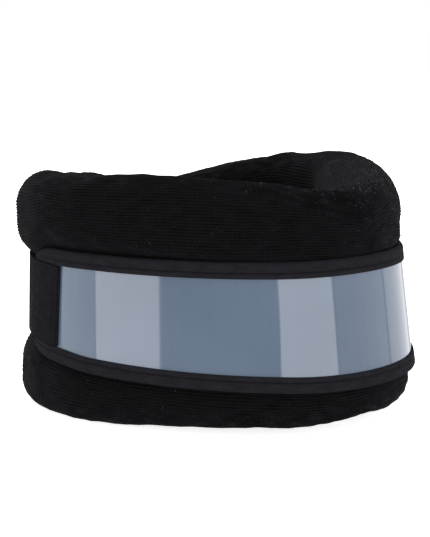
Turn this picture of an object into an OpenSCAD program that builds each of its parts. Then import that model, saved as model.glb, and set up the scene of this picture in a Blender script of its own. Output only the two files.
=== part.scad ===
// Cervical collar: a foam ring in a ribbed knit sleeve, stiffened in front by a
// clear plate with bound edges, and closed at the nape by a hook-and-loop strap.
// The chin is at -Y, the wearer's left at +X, and the collar stands on z = 0.
// A bearing is an angle round the collar, 0 at the chin and positive to +X.

/* [Ring outline] */
// Radius of the ring at the chin, on the plate's outer face
chin_r = 61; // [57:0.5:65]
// Radius of the ring at the nape
nape_r = 82; // [78:0.5:86]
// Radius of the two flatter sides
side_r = 127.5; // [115:0.5:140]
// Distance between the centres of the chin and nape arcs
centre_gap = 42.4; // [38:0.2:46]

/* [Foam ring] */
// Thickness of the padded wall
wall = 29; // [27:0.5:31]
// Angle between each inner face and the wearer's left-right axis, at the chin's crease
crease_angle = 46; // [40:1:48]
// Height at the wearer's sides, where the collar is tallest
side_h = 108.6; // [104:0.2:116]
// How far the top edge dips under the chin
chin_drop = 9.4; // [0:0.2:12]
// How far the top edge dips at the nape
nape_drop = 21.6; // [0:0.2:22]
// How far the lower edge arches up over the breastbone
chest_rise = 5.6; // [0:0.2:6]
// Radius of the upper corners of the padding
top_round = 12; // [10:0.5:12]
// Radius of the lower corners of the padding
base_round = 10; // [8:0.5:10]
// Thickness of the knit sleeve
cover_t = 1.3; // [1:0.1:1.6]

/* [Plate and bindings] */
// Bearing of each end of the plate
plate_end = 112; // [108:0.5:112]
// Thickness of the plate
plate_t = 1.2; // [1:0.1:1.4]
// Height of the plate's visible upper edge at the sides
window_top = 68.2; // [67.8:0.2:70]
// Height of the plate's visible lower edge at the sides
window_bottom = 30.7; // [29:0.1:30.9]
// How much lower the window reaches under the chin
window_chin_drop = 3; // [2:0.2:4]
// Outward slope of the plate under the chin, from top to bottom
flare = 0.14; // [0:0.01:0.14]
// How far the plate bows out on each side of the chin
cheek_bow = 1.6; // [0:0.1:1.8]
// Visible width of the binding tape
binding_w = 7; // [6:0.2:7.4]
// Thickness of the binding tape
binding_t = 0.8; // [0.6:0.1:0.9]

/* [Straps] */
// Width of the strap
strap_w = 35.8; // [30:0.2:35.8]
// Thickness of the strap
strap_t = 1.5; // [1.2:0.1:1.6]
// Bearing where each strap starts, on top of the plate
strap_start = 95; // [92:0.5:98]
// Angle of the free tail past the nape
tail_angle = 38; // [30:1:44]
// Thickness of the hook and of the loop face
pile_t = 0.8; // [0.6:0.1:0.8]

/* [Folding] */
// Bearing of the line where each flap folds
fold = 114; // [114:0.5:116]
// Half of the gap between the flaps' ends, as an angle
end_gap = 1.4; // [1:0.1:2]

/* [Hidden] */

slack = 0.12;       // clearance between layers that lie on each other
grip = 0.25;        // clearance between the hook face and the loop face
thread = 0.3;       // thickness of a stitch line
thread_w = 0.6;     // width of a stitch line
cut = 0.3;          // half of the cut at each fold line, as an angle
cheek = 36;         // bearing where the plate bows out most
cheek_spread = 24;  // angle over which the bow fades away
flap_steps = 16;    // stations round each flap
strap_steps = 14;   // stations along each strap

// The outline is four tangent arcs: chin, two sides, nape.
half_gap = centre_gap / 2;
fuller_nape = 2;    // the nape bulges further than the chin, so the ring sits forward
centre_shift = (chin_r - nape_r) / 2 - fuller_nape;
side_y = ((side_r - chin_r) ^ 2 - (side_r - nape_r) ^ 2) / (4 * half_gap);
side_x = sqrt((side_r - chin_r) ^ 2 - (side_y + half_gap) ^ 2);
chin_arc = atan2(side_x, side_y + half_gap);
nape_arc = 180 - atan2(side_x, half_gap - side_y);

strap_z = (window_top + window_bottom) / 2 + 0.35;
strap_low = strap_z - strap_w / 2;
strap_high = strap_z + strap_w / 2;
over_plate = slack;                            // strap's inner face on the plate
on_foam = -1.2;                                // strap's inner face on the sleeve
loop_face = on_foam + strap_t + slack;         // inner face of the loop patch
hook_face = loop_face + pile_t + grip;         // inner face of the hook patch
tail_face = hook_face + pile_t + slack;        // inner face of the tail
flap_end = 180 - end_gap;
flap_start = fold + cut;
front_end = fold - cut;
mm = 180 / PI / nape_r;                        // degrees per millimetre at the nape

function blend(a, a0, a1, v0, v1) =
  let (t = max(0, min(1, (a - a0) / (a1 - a0))))
  v0 + (v1 - v0) * t * t * (3 - 2 * t);
function linspace(a0, a1, n) = [for (i = [0:n]) a0 + (a1 - a0) * i / n];
function rest(list) = [for (i = [1:len(list) - 1]) list[i]];
// Bearings from a down to the chin, with a station wherever two arcs join.
function half_round(a) = concat(
  linspace(a, nape_arc, 5), rest(linspace(nape_arc, chin_arc, 14)), rest(linspace(chin_arc, 0, 8))
);
function both_sides(half) = concat(
  [for (a = half) -a], [for (i = [len(half) - 2:-1:0]) half[i]]
);
function arc(x, z, r, a0, a1) = [for (a = linspace(a0, a1, 4)) [x + r * cos(a), z + r * sin(a)]];

// Point of the outline at a bearing, moved outward by off.
function outline(a, off) =
  let (t = abs(a), s = a < 0 ? -1 : 1)
  let (r = t < chin_arc ? chin_r : t < nape_arc ? side_r : nape_r)
  let (cx = t < chin_arc ? 0 : t < nape_arc ? -side_x : 0)
  let (cy = t < chin_arc ? -half_gap : t < nape_arc ? side_y : half_gap)
  [s * (cx + (r + off) * sin(t)), cy + centre_shift - (r + off) * cos(t)];

function in_front(a) = max(0, cos(a)) ^ 2;
function behind(a) = max(0, -cos(a)) ^ 2;
function foam_top(a) = side_h - chin_drop * in_front(a) - nape_drop * behind(a);
function foam_base(a) = chest_rise * in_front(a);
function foam_high(a) = 1.8 - 6 * cos(a);      // outer face above the band
function foam_low(a) = 3.9 - 1.4 * cos(a);     // outer face below the band
function window_hi(a) = window_top + 0.9 * cos(a);
function window_lo(a) = window_bottom - window_chin_drop * cos(a);
// How far the plate and what lies on it stand out at height z: it slopes, and bows at the cheeks.
function lean(a, z) =
  flare * (1 + cos(a)) / 2 * ((window_hi(a) + window_lo(a)) / 2 - z)
  + cheek_bow * exp(-((abs(a) - cheek) / cheek_spread) ^ 2);
function waist_off(a, z) =
  lean(a, z) + blend(abs(a), 112, 122, -plate_t - binding_t - 2 * slack, on_foam - slack);
function waist_hi(a) = blend(abs(a), 109, 119, window_hi(a) + binding_w + 0.6, strap_high + 0.9);
function waist_lo(a) = blend(abs(a), 109, 119, window_lo(a) - binding_w - 0.6, strap_low - 0.9);
// Inner face of the straps. Only the right one rises at the nape, to lap over the left.
function strap_off(a) =
  blend(abs(a), 112, 120, over_plate, on_foam) + blend(-a, 164, 177, 0, tail_face - on_foam);

// Distance from an arc's centre to the flat inner face that runs back from the crease.
function crease_reach(a, from_centre) =
  from_centre / (cos(a) + tan(crease_angle) * sin(a));
// Inner face of the padding. It folds to a crease at the chin, which thickens it beside that.
function inner_off(a) =
  let (t = abs(a), crease = chin_r - wall)
  let (side = side_y + half_gap + crease + tan(crease_angle) * side_x)
  t < chin_arc ? crease_reach(t, crease) - chin_r
  : t < nape_arc ? min(-wall, crease_reach(t, side) - side_r)
  : -wall;

// One section of the padding, shrunk by inset, as [outward offset, height] points.
function foam_section(a, inset) =
  let (lo = foam_base(a) + base_round, hi = foam_top(a) - top_round, inner = inner_off(a))
  concat(
    arc(foam_low(a) - base_round, lo, base_round - inset, -90, 0),
    [[foam_low(a) - inset, waist_lo(a) - 3.5]],
    [for (z = [waist_lo(a), waist_hi(a)]) [waist_off(a, z) - inset, z]],
    [[foam_high(a) - inset, waist_hi(a) + 5.2]],
    arc(foam_high(a) - top_round, hi, top_round - inset, 0, 90),
    arc(inner + top_round, hi, top_round - inset, 90, 180),
    arc(inner + base_round, lo, base_round - inset, 180, 270)
  );
function box_section(off0, off1, z0, z1) = [[off1, z0], [off1, z1], [off0, z1], [off0, z0]];
function leaning(a, section) = [for (p = section) [p[0] + lean(a, p[1]), p[1]]];
function place(a, section) = [for (p = section) [each outline(a, p[0]), p[1]]];

function offset_faces(faces, n) = [for (f = faces) [for (i = f) i + n]];
function flipped(faces) = [for (f = faces) [for (i = [len(f) - 1:-1:0]) f[i]]];
function side_faces(rows, n) = [
  for (i = [0:rows - 2], j = [0:n - 1])
    let (k = (j + 1) % n)
    each [[i * n + j, i * n + k, (i + 1) * n + k], [i * n + j, (i + 1) * n + k, (i + 1) * n + j]]
];
function end_ring(row, n) = [for (j = [0:n - 1]) row * n + j];
function rim_faces(row, n, inner) = [
  for (j = [0:n - 1])
    let (k = (j + 1) % n, p = row * n)
    each [[p + j, p + k, inner + p + k], [p + j, inner + p + k, inner + p + j]]
];

// A solid through rings of points, in order of rising bearing.
module swept(rings) {
  n = len(rings[0]);
  rows = len(rings);
  faces = concat(side_faces(rows, n), flipped([end_ring(0, n)]), [end_ring(rows - 1, n)]);
  polyhedron(points = [for (r = rings) each r], faces = faces, convexity = 8);
}

// A sleeve between outer and inner rings. A closed end has a wall across it.
module sleeve(outer, inner, start_closed, end_closed) {
  n = len(outer[0]);
  rows = len(outer);
  total = n * rows;
  start = flipped(start_closed ? [end_ring(0, n)] : rim_faces(0, n, total));
  end = end_closed ? [end_ring(rows - 1, n)] : rim_faces(rows - 1, n, total);
  inner_start = start_closed ? offset_faces([end_ring(0, n)], total) : [];
  inner_end = end_closed ? offset_faces(flipped([end_ring(rows - 1, n)]), total) : [];
  polyhedron(
    points = concat([for (r = outer) each r], [for (r = inner) each r]),
    faces = concat(
      side_faces(rows, n), offset_faces(flipped(side_faces(rows, n)), total),
      start, end, inner_start, inner_end
    ),
    convexity = 8
  );
}

// A strap of full width from bearing a0 to a1.
module strap(a0, a1) {
  swept([for (a = linspace(a0, a1, strap_steps)) let (f = strap_off(a))
    place(a, leaning(a, box_section(f, f + strap_t, strap_low, strap_high)))]);
}
// A flat piece of any size and offset that follows the outline.
module patch(a0, a1, off, thick, z0, z1) {
  swept([for (a = linspace(a0, a1, strap_steps))
    place(a, leaning(a, box_section(off, off + thick, z0, z1)))]);
}
// Four stitch lines round a rectangle, on a face at the given offset.
module stitched_box(a0, a1, off, z0, z1) {
  low = min(a0, a1);
  high = max(a0, a1);
  for (z = [z0, z1 - thread_w]) patch(low, high, off, thread, z, z + thread_w);
  gap = thread_w + 0.2;
  for (a = [low, high - thread_w * mm])
    patch(a, a + thread_w * mm, off, thread, z0 + gap, z1 - gap);
}

module foam_part(stations) {
  inset = cover_t + slack;
  color("#8f8f8c") swept([for (a = stations) place(a, foam_section(a, inset))]);
}
module core_front() { foam_part(both_sides(half_round(front_end))); }
module cover_front() {
  stations = both_sides(half_round(front_end));
  color("#1c1c20") sleeve(
    [for (a = stations) place(a, foam_section(a, 0))],
    [for (a = stations) place(a, foam_section(a, cover_t))],
    false, false
  );
}

// A flap on one side, side = -1 for the wearer's right and 1 for the left.
module flap_core(side) {
  tip = flap_end - (cover_t + slack) * mm;
  a = side * flap_start;
  b = side * tip;
  foam_part(linspace(min(a, b), max(a, b), flap_steps));
}
module flap_cover(side) {
  tip = flap_end - cover_t * mm;
  outer = linspace(side < 0 ? -flap_end : flap_start, side < 0 ? -flap_start : flap_end, flap_steps);
  inner = linspace(side < 0 ? -tip : flap_start, side < 0 ? -flap_start : tip, flap_steps);
  color("#1c1c20") sleeve(
    [for (a = outer) place(a, foam_section(a, 0))],
    [for (a = inner) place(a, foam_section(a, cover_t))],
    side < 0, side > 0
  );
}
// The sewn ridge that shuts the sleeve at the flap's end.
module end_seam(side) {
  a = side * (flap_end + 0.08);
  b = side * (flap_end + 0.55);
  mid = -wall / 2;
  lo = foam_base(flap_end) + 14;
  hi = foam_top(flap_end) - 14;
  color("#141417") patch(min(a, b), max(a, b), mid - 1.5, 3, lo, hi);
}

// Bearings along the plate, closer together at its rounded corners.
function plate_stations(end) = both_sides(concat(
  [for (i = [0:4]) end - 7 * mm * (i / 5) ^ 2], half_round(end - 7 * mm)
));
// How far a rounded corner cuts into the edge at a bearing.
function corner_cut(a, end, r) =
  let (s = min(r, (end - abs(a)) / mm))
  r - sqrt(max(0, r * r - (r - s) ^ 2));
function plate_section(a) =
  let (c = corner_cut(a, plate_end, 6))
  let (hi = window_hi(a) + binding_w - binding_t - slack - c)
  let (lo = window_lo(a) - binding_w + binding_t + slack + c)
  leaning(a, box_section(-plate_t, 0, lo, hi));
module support_plate() {
  color("#8c9bab", 0.75) swept([for (a = plate_stations(plate_end)) place(a, plate_section(a))]);
}

// Folded tape over one edge of the plate: up = 1 for the upper edge, -1 for the lower.
function binding_section(a, up) =
  let (inner = up > 0 ? window_hi(a) : window_lo(a))
  let (c = corner_cut(a, plate_end + 0.4, 5.6))
  let (edge = inner + up * (binding_w - c), crook = edge - up * binding_t)
  let (front = slack, back = -plate_t - slack)
  let (v = leaning(a, [
    [front, inner], [front + binding_t, inner], [front + binding_t, edge],
    [back - binding_t, edge], [back - binding_t, inner], [back, inner], [back, crook], [front, crook]
  ]))
  up > 0 ? v : [for (i = [len(v) - 1:-1:0]) v[i]];
module binding(up) {
  color("#26282c") swept([for (a = plate_stations(plate_end + 0.4)) place(a, binding_section(a, up))]);
}
module binding_stitch(up) {
  end = plate_end - 3;
  off = 2 * slack + binding_t;
  color("#3a3c42") swept([for (a = both_sides(half_round(end)))
    let (z = (up > 0 ? window_hi(a) : window_lo(a)) + up * 2.4)
    place(a, leaning(a, box_section(off, off + thread, z - thread_w / 2, z + thread_w / 2)))]);
}
module upper_binding() { binding(1); }
module lower_binding() { binding(-1); }
module upper_stitching() { binding_stitch(1); }
module lower_stitching() { binding_stitch(-1); }

// The first part of each strap, sewn on top of the plate's end.
module strap_end(side) {
  a = side * strap_start;
  b = side * front_end;
  color("#2d2e33") strap(min(a, b), max(a, b));
}
module box_stitch(side) {
  off = over_plate + strap_t + slack;
  color("#50525a") stitched_box(
    side * (strap_start + 3), side * (plate_end - 2), off, strap_low + 3, strap_high - 3
  );
}
module right_strap_end() { strap_end(-1); }
module right_box_stitch() { box_stitch(-1); }
module left_strap_end() { strap_end(1); }
module left_box_stitch() { box_stitch(1); }

module core_right_flap() { flap_core(-1); }
module cover_right_flap() { flap_cover(-1); }
module core_left_flap() { flap_core(1); }
module cover_left_flap() { flap_cover(1); }
module right_end_seam() { end_seam(-1); }
module left_end_seam() { end_seam(1); }

// The right strap runs to the nape and goes on as a free tail over the left one.
module hook_strap() {
  color("#2d2e33") strap(-179.8, -flap_start);
}
module hook_strap_tail() {
  color("#2d2e33") patch(180 - tail_angle, 179.8, tail_face, strap_t, strap_low, strap_high);
}
module hook_patch() {
  color("#17181b") patch(
    183 - tail_angle, 175, hook_face, pile_t, strap_low + 1.5, strap_high - 1.5
  );
}
module hook_patch_stitch() {
  color("#50525a") stitched_box(
    182.5 - tail_angle, 175.5, tail_face + strap_t + slack, strap_low + 1.5, strap_high - 1.5
  );
}
module loop_strap() {
  color("#2d2e33") strap(flap_start, 176);
}
module loop_patch() {
  color("#1f2024") patch(
    174 - tail_angle, 175, loop_face, pile_t, strap_low + 1, strap_high - 1
  );
}
module loop_patch_stitch() {
  color("#50525a") stitched_box(
    128, 171.5 - tail_angle, on_foam + strap_t + slack, strap_low + 2, strap_high - 2
  );
}

core_front();
cover_front();
support_plate();
upper_binding();
lower_binding();
upper_stitching();
lower_stitching();
right_strap_end();
right_box_stitch();
left_strap_end();
left_box_stitch();
core_right_flap();
cover_right_flap();
hook_strap();
right_end_seam();
hook_strap_tail();
hook_patch();
hook_patch_stitch();
core_left_flap();
cover_left_flap();
loop_strap();
loop_patch();
loop_patch_stitch();
left_end_seam();
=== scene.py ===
"""Looks of the cervical collar: padded knit sleeve, clear plate, bound edges, straps and stitching."""
import math

import bpy
import numpy as np
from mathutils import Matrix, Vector


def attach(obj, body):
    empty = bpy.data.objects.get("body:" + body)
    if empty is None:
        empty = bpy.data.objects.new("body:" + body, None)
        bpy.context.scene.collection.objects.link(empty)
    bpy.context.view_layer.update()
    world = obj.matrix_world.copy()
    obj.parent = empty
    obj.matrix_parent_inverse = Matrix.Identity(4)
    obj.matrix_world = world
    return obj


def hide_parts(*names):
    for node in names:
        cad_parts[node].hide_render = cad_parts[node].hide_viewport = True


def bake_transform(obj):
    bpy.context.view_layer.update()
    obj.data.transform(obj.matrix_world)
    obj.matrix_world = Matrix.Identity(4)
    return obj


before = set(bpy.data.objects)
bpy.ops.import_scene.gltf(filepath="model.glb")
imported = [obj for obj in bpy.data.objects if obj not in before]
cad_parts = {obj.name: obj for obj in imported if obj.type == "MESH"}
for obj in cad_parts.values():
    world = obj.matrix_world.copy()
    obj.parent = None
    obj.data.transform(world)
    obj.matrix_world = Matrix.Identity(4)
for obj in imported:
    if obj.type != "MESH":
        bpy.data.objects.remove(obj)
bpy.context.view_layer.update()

# Lengths are in millimetres and angles in degrees, until a mesh is made.
# A bearing is an angle round the collar, 0 at the chin and positive to the wearer's left.
MM = 0.001
rng = np.random.default_rng(7)
columns = np.column_stack

# --- Driving dimensions, the same as the CAD model's ---
CHIN_R, NAPE_R, SIDE_R, CENTRE_GAP = 61.0, 82.0, 127.5, 42.4
FULLER_NAPE = 2.0
WALL, BASE_ROUND = 29.0, 10.0
CREASE_ANGLE = 46.0
SIDE_H, CHIN_DROP, NAPE_DROP, CHEST_RISE = 108.6, 9.4, 21.6, 5.6
WINDOW_TOP, WINDOW_BOTTOM, WINDOW_CHIN_DROP, FLARE = 68.2, 30.7, 3.0, 0.14
CHEEK_BOW, CHEEK, CHEEK_SPREAD = 1.6, 36, 24
PLATE_END, PLATE_T, BINDING_W, BINDING_T = 112.0, 1.2, 7.0, 0.8
STRAP_W, STRAP_T, STRAP_START = 35.8, 1.5, 95.0
TAIL_ANGLE, PILE_T = 38.0, 0.8
FOLD, END_GAP = 114.0, 1.4
SLACK, GRIP = 0.12, 0.25

# --- Derived from those ---
HALF_GAP = CENTRE_GAP / 2
CENTRE_SHIFT = (CHIN_R - NAPE_R) / 2 - FULLER_NAPE
SIDE_Y = ((SIDE_R - CHIN_R) ** 2 - (SIDE_R - NAPE_R) ** 2) / (4 * HALF_GAP)
SIDE_X = math.sqrt((SIDE_R - CHIN_R) ** 2 - (SIDE_Y + HALF_GAP) ** 2)
CHIN_ARC = math.degrees(math.atan2(SIDE_X, SIDE_Y + HALF_GAP))
NAPE_ARC = 180 - math.degrees(math.atan2(SIDE_X, HALF_GAP - SIDE_Y))
STRAP_Z = (WINDOW_TOP + WINDOW_BOTTOM) / 2 + 0.35
STRAP_LOW, STRAP_HIGH = STRAP_Z - STRAP_W / 2, STRAP_Z + STRAP_W / 2
ON_FOAM = -0.7
LOOP_FACE = ON_FOAM + STRAP_T + SLACK
HOOK_FACE = LOOP_FACE + PILE_T + GRIP
TAIL_FACE = HOOK_FACE + PILE_T + SLACK
FLAP_END = 180 - END_GAP
NAPE_MM = 180 / math.pi / NAPE_R

# --- Finer shape: each rise or dip has a height, a bearing and a spread in degrees ---
TOP_RIGHT = ((3.0, 117, 12), (-1.2, 77, 13))
TOP_LEFT = ((0.7, 142, 14), (-0.6, 112, 10))
BASE_BOTH = ((1.0, 62, 26), (-1.1, 26, 16))
DROOP_RIGHT = ((1.6, 117, 16),)
EDGE_SOFTNESS, LOOP_PITCH = 1.4, 0.35
END_REACH = 10.0
FOLD_DROP, FOLD_DEPTH, FOLD_SPREAD, FOLD_REACH = 6.5, 3.5, 2.8, 4.0
CUT_ROUND = 1.1
PLATE_CORNER, BINDING_CORNER, CORNER_REACH = (19, 6.2), (20, 6), 20.0
BINDING_PAST = 0.4
STITCH_UP = 2.4

# --- The knit: ribs below, behind and above the plate and inside, and points to each rib ---
SPLIT = 100.0
RIBS = (24, 34, 36, 90)
PER_RIB, LINING_STEP = 5, 10
FRONT_STEPS, FLAP_STEPS = 86, 36
RIB_PITCH, RIB_HEIGHT, RIB_WANDER, RIB_UNEVEN = 1.46, 0.26, 0.8, 0.7
GATHER, GATHER_AT, GATHER_SPREAD = 0.9, 4, 16
LUMP_HEIGHT = 0.3
KNIT_T, CORE_GAP = 1.1, 2.0
FIBRE_R, FIBRE_SIDES, FIBRE_RINGS, FIBRE_LEVEL = 0.045, 3, 5, 0.05

# --- How the knit settles over its filling ---
SETTLE_STATIONS = np.linspace(-FLAP_END, FLAP_END, 121)
SETTLE_FRAMES, SETTLE_SPARE, SETTLE_PRESSURE = 20, 0.012, 3.0
SETTLE_KEEP, SETTLE_CAP, SETTLE_WINDOW = 0.1, 0.42, 19


# ------ the ring's shape
def bend(a, a0, a1, v0, v1):
    """Goes smoothly from v0 to v1 as a goes from a0 to a1."""
    t = np.clip((a - a0) / (a1 - a0), 0, 1)
    return v0 + (v1 - v0) * t * t * (3 - 2 * t)


def outline(bearing, off):
    """The outline's points at these bearings, moved outward by off."""
    t = np.radians(np.abs(bearing))
    side = np.where(np.asarray(bearing) < 0, -1.0, 1.0)
    chin = t < math.radians(CHIN_ARC)
    nape = t >= math.radians(NAPE_ARC)
    r = np.where(chin, CHIN_R, np.where(nape, NAPE_R, SIDE_R)) + off
    cx = np.where(chin | nape, 0.0, -SIDE_X)
    cy = np.where(chin, -HALF_GAP, np.where(nape, HALF_GAP, SIDE_Y)) + CENTRE_SHIFT
    return side * (cx + r * np.sin(t)), cy - r * np.cos(t)


def place(bearing, section):
    """A section's (offset, height) points in space. The bearing may differ from point to point."""
    x, y = outline(bearing, section[:, 0])
    return columns([x, y, section[:, 1]])


def arc_length(bearings):
    """Distance along the outline from the chin to each bearing, signed."""
    a = np.abs(bearings)
    chin = np.minimum(a, CHIN_ARC) * CHIN_R
    flat = np.clip(a - CHIN_ARC, 0, NAPE_ARC - CHIN_ARC) * SIDE_R
    nape = np.clip(a - NAPE_ARC, 0, None) * NAPE_R
    return np.sign(bearings) * np.radians(chin + flat + nape)


def cosine(a):
    return math.cos(math.radians(a))


def swell(a, middle, spread):
    """1 at the bearing 'middle' on either side, and next to nothing two spreads away."""
    return math.exp(-(((abs(a) - middle) / spread) ** 2))


def mounds(a, parts):
    return sum(height * swell(a, middle, spread) for height, middle, spread in parts)


def foam_top(a):
    """Top of the padding. On the wearer's right it is full where the collar turns to the nape."""
    drop = CHIN_DROP * max(0, cosine(a)) ** 2 + NAPE_DROP * max(0, -cosine(a)) ** 2
    return SIDE_H - drop + mounds(a, TOP_RIGHT if a < 0 else TOP_LEFT)


def foam_base(a):
    """Bottom of the padding. It arches up over the breastbone and a little over the collarbones."""
    return CHEST_RISE * max(0, cosine(a)) ** 2 + mounds(a, BASE_BOTH)


def window_hi(a):
    """Top edge of the window. It closes in a little on the straps."""
    return WINDOW_TOP + 0.9 * np.cos(np.radians(a)) - bend(np.abs(a), 80, 94, 0, 0.2)


def window_lo(a):
    return WINDOW_BOTTOM - WINDOW_CHIN_DROP * np.cos(np.radians(a)) + bend(np.abs(a), 80, 94, 0, 0.6)


def lean(a, z):
    """How far the plate and what lies on it stand out at height z: it slopes, and bows beside the chin."""
    slope = FLARE * (1 + np.cos(np.radians(a))) / 2 * ((window_hi(a) + window_lo(a)) / 2 - z)
    right_cheek, left_cheek = ((np.asarray(a) - side * CHEEK) / CHEEK_SPREAD for side in (-1, 1))
    return slope + CHEEK_BOW * (np.exp(-(right_cheek**2)) + np.exp(-(left_cheek**2)))


def strap_off(a):
    """Inner face of the straps. The right one rises at the nape, to lap over the left."""
    return bend(abs(a), 112, 120, SLACK, ON_FOAM) + bend(-a, 164, 177, 0, TAIL_FACE - ON_FOAM)


def inner_off(a):
    """Inner face of the padding, which folds to a crease at the chin."""
    t = math.radians(abs(a))
    slope = math.tan(math.radians(CREASE_ANGLE))
    reach = math.cos(t) + slope * math.sin(t)
    crease = CHIN_R - WALL
    if abs(a) < CHIN_ARC:
        return crease / reach - CHIN_R
    side = SIDE_Y + HALF_GAP + crease + slope * SIDE_X
    return min(-WALL, side / reach - SIDE_R) if abs(a) < NAPE_ARC else -WALL


# ------ the padding's section
def corner(x, z, r, a0, a1, count=25):
    """An arc of radius r about (x, z)."""
    t = np.radians(np.linspace(a0, a1, count))
    return columns([x + r * np.cos(t), z + r * np.sin(t)])


def lobe(z0, z1, rise, waist, face):
    """The padding's outer face from the waist at z0 to the corner at z1: it swells over 'rise' mm."""
    z = np.linspace(z0, z1, 30)
    t = np.clip(np.abs(z - z0) / rise, 0, 1)
    return columns([waist + (face - waist) * (1 - (1 - t) ** 2), z])


def measured(loop):
    """The loop with its first point again at its end, and the length along it to each point."""
    closed = np.vstack([loop, loop[:1]])
    return closed, np.concatenate([[0], np.cumsum(np.hypot(*np.diff(closed, axis=0).T))])


def rounded(loop, sigma):
    """The closed loop at an even pitch, its corners softened over about 2 sigma."""
    closed, s = measured(loop)
    n = int(s[-1] / LOOP_PITCH)
    even = np.linspace(0, s[-1], n, endpoint=False)
    pts = columns([np.interp(even, s, closed[:, k]) for k in (0, 1)])
    freq = np.fft.fftfreq(n, s[-1] / n)
    damp = np.exp(-2 * (math.pi * freq * sigma) ** 2)
    return columns([np.fft.ifft(np.fft.fft(pts[:, k]) * damp).real for k in (0, 1)])


def face_offsets(a):
    """How far the padding's outer face stands out above the plate, and below it."""
    turn = abs(a)
    above = bend(turn, 40, 110, 2.8, 2.0) - 6 * cosine(a)
    below = 4.2 - 1.6 * cosine(a) - bend(turn, 80, 110, 0, 0.5)
    return above, below


def top_tilt(a):
    """How far the top rises at its outer edge, and how far it droops at its inner edge."""
    turn = abs(a)
    brim = bend(turn, 70, 95, 3.4, -0.9) + bend(turn, 100, 118, 0, 0.9)
    droop = bend(turn, 45, 66, 2.8, 0) + (mounds(a, DROOP_RIGHT) if a < 0 else 0)
    return brim, droop


def waist_points(a):
    """Where the plate's bindings, or the straps, press the padding in: its low and its high point."""
    turn = abs(a)
    low = bend(turn, 99, 114, window_lo(a) - BINDING_W - 0.9, STRAP_LOW - 1.9)
    snug = bend(turn, 50, 70, -0.3, 0.8)
    high = bend(turn, 99, 114, window_hi(a) + BINDING_W + snug, STRAP_HIGH + 0.3)
    behind = bend(turn, 112, 122, -PLATE_T - BINDING_T - 0.9, ON_FOAM - 0.6)
    return [(lean(a, z) + behind, z) for z in (low, high)]


def padding_loop(a, inset):
    """The padding's section at a bearing as a dense closed loop, and four points to anchor it by."""
    turn = abs(a)
    base, inner = foam_base(a), inner_off(a)
    above, below = face_offsets(a)
    brim, droop = top_tilt(a)
    outer_top, inner_top = foam_top(a) + brim, foam_top(a) - droop
    round_out, round_in = bend(turn, 45, 75, 15.5, 10.5), bend(turn, 35, 90, 8.5, 12)
    round_base = bend(turn, 5, 30, BASE_ROUND, 12.5) - bend(turn, 60, 110, 0, 6.5)
    (off0, z0), (off1, z1) = waist_points(a)
    rise, fall = bend(turn, 45, 105, 1.5, 11), bend(turn, 60, 110, 10, 16)
    loop = np.vstack([
        corner(below - round_base, base + round_base, round_base, -90, 0)[:-1],
        lobe(z0, base + round_base, fall, off0, below)[::-1],
        lobe(z1, outer_top - round_out, rise, off1, above),
        corner(above - round_out, outer_top - round_out, round_out, 0, 90)[1:],
        corner(inner + round_in, inner_top - round_in, round_in, 90, 180),
        corner(inner + BASE_ROUND, base + BASE_ROUND, BASE_ROUND, 180, 270),
    ])
    loop = rounded(loop, EDGE_SOFTNESS)
    if inset:
        loop = loop - inset * outward(loop)
    crown = (above + inner) / 2, (outer_top + inner_top) / 2
    return loop, [((below + inner) / 2, base), (off0, z0), (off1, z1), crown]


def length_at(loop, s, point):
    """The length along a closed loop to where it passes closest to a point."""
    i = int(np.argmin(np.hypot(*(loop - point).T)))
    ahead = loop[(i + 1) % len(loop)] - loop[i - 1]
    return s[i] + np.dot(point - loop[i], ahead) / np.linalg.norm(ahead)


def outward(loop):
    """Unit normals of a closed anticlockwise loop."""
    tangent = np.roll(loop, -1, axis=0) - np.roll(loop, 1, axis=0)
    tangent /= np.linalg.norm(tangent, axis=1)[:, None]
    return columns([tangent[:, 1], -tangent[:, 0]])


def padding_section(a, counts, inset=0.0):
    """The section with a fixed number of points between its anchors, so ribs run along the collar."""
    loop, anchors = padding_loop(a, inset)
    closed, s = measured(loop)
    total = s[-1]
    stops = [length_at(loop, s, point) for point in anchors]
    stops = [stops[0] + (stop - stops[0]) % total for stop in stops] + [stops[0] + total]
    at = np.concatenate([
        np.linspace(stops[i], stops[i + 1], counts[i], endpoint=False) for i in range(4)
    ])
    return columns([np.interp(at % total, s, closed[:, k]) for k in (0, 1)])


def waves(count, along, across):
    """Random waves for uneven(), no shorter than these lengths in mm."""
    turn = 6.28
    return [
        (rng.uniform(0.25, 1) * turn / along, rng.uniform(-1, 1) * turn / across, rng.uniform(0, turn))
        for _ in range(count)
    ]


def uneven(u, v, parts):
    """Unevenness, about -1 to 1, at u along and v across, in mm."""
    return sum(np.sin(fu * u + fv * v + phase) for fu, fv, phase in parts) / math.sqrt(len(parts))


LUMPS = waves(12, 55, 70)
SNAGS = waves(24, 9, 5)
DRIFT = waves(16, 24, 9)


def ribbed(a, section):
    """The knit's ribs, gathered at the top of the chin, and the filling's lumps, added to a section."""
    u = float(arc_length(np.array(a)))
    phase = 2 * math.pi * np.arange(len(section)) / PER_RIB
    cord = np.cos(phase + RIB_WANDER * uneven(u, RIB_V, DRIFT))
    tight = 1 + RIB_UNEVEN * uneven(u, RIB_V, SNAGS)
    near_top = bend(section[:, 1], foam_top(a) - 9, foam_top(a) - 3, 0, 1)
    gathered = 1 + GATHER * swell(a, GATHER_AT, GATHER_SPREAD) * near_top
    rise = RIB_HEIGHT * cord * tight * gathered + LUMP_HEIGHT * uneven(u, RIB_V, LUMPS)
    return section + rise[:, None] * outward(section)


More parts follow.
